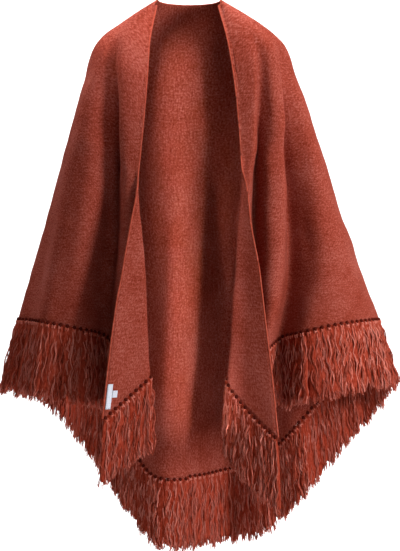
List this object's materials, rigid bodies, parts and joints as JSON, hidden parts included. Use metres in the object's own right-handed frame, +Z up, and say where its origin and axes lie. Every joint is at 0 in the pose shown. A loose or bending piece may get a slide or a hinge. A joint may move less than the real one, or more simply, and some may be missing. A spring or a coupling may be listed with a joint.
{
  "type": "knitted shawl poncho",
  "caption": "Open-front knitted shawl poncho with turned-back front edges and a knotted fringe along its curved hem, in the shape it takes when worn.",
  "frame": {"origin": "centre of the neck opening, level with the neck points of the shoulders, where the wearer's shoulders carry it", "axes": "+Z up; the open front faces -Y; +X is to the right as seen from the front"},
  "size_m": [0.8569, 0.415, 1.2049],
  "materials": {
    "knit": "soft brushed heather knit in rust red",
    "fringe": "loose yarn of the same rust red",
    "label": "white woven tape"
  },
  "bodies": {
    "root": {"shawl_cloth": "knit", "fringe_left_lapel": "fringe", "fringe_left_front": "fringe", "fringe_back_left": "fringe", "fringe_back_centre": "fringe", "fringe_back_right": "fringe", "fringe_right_front": "fringe", "fringe_right_lapel": "fringe", "woven_label": "label", "size_tab": "label"}
  },
  "joints": []
}
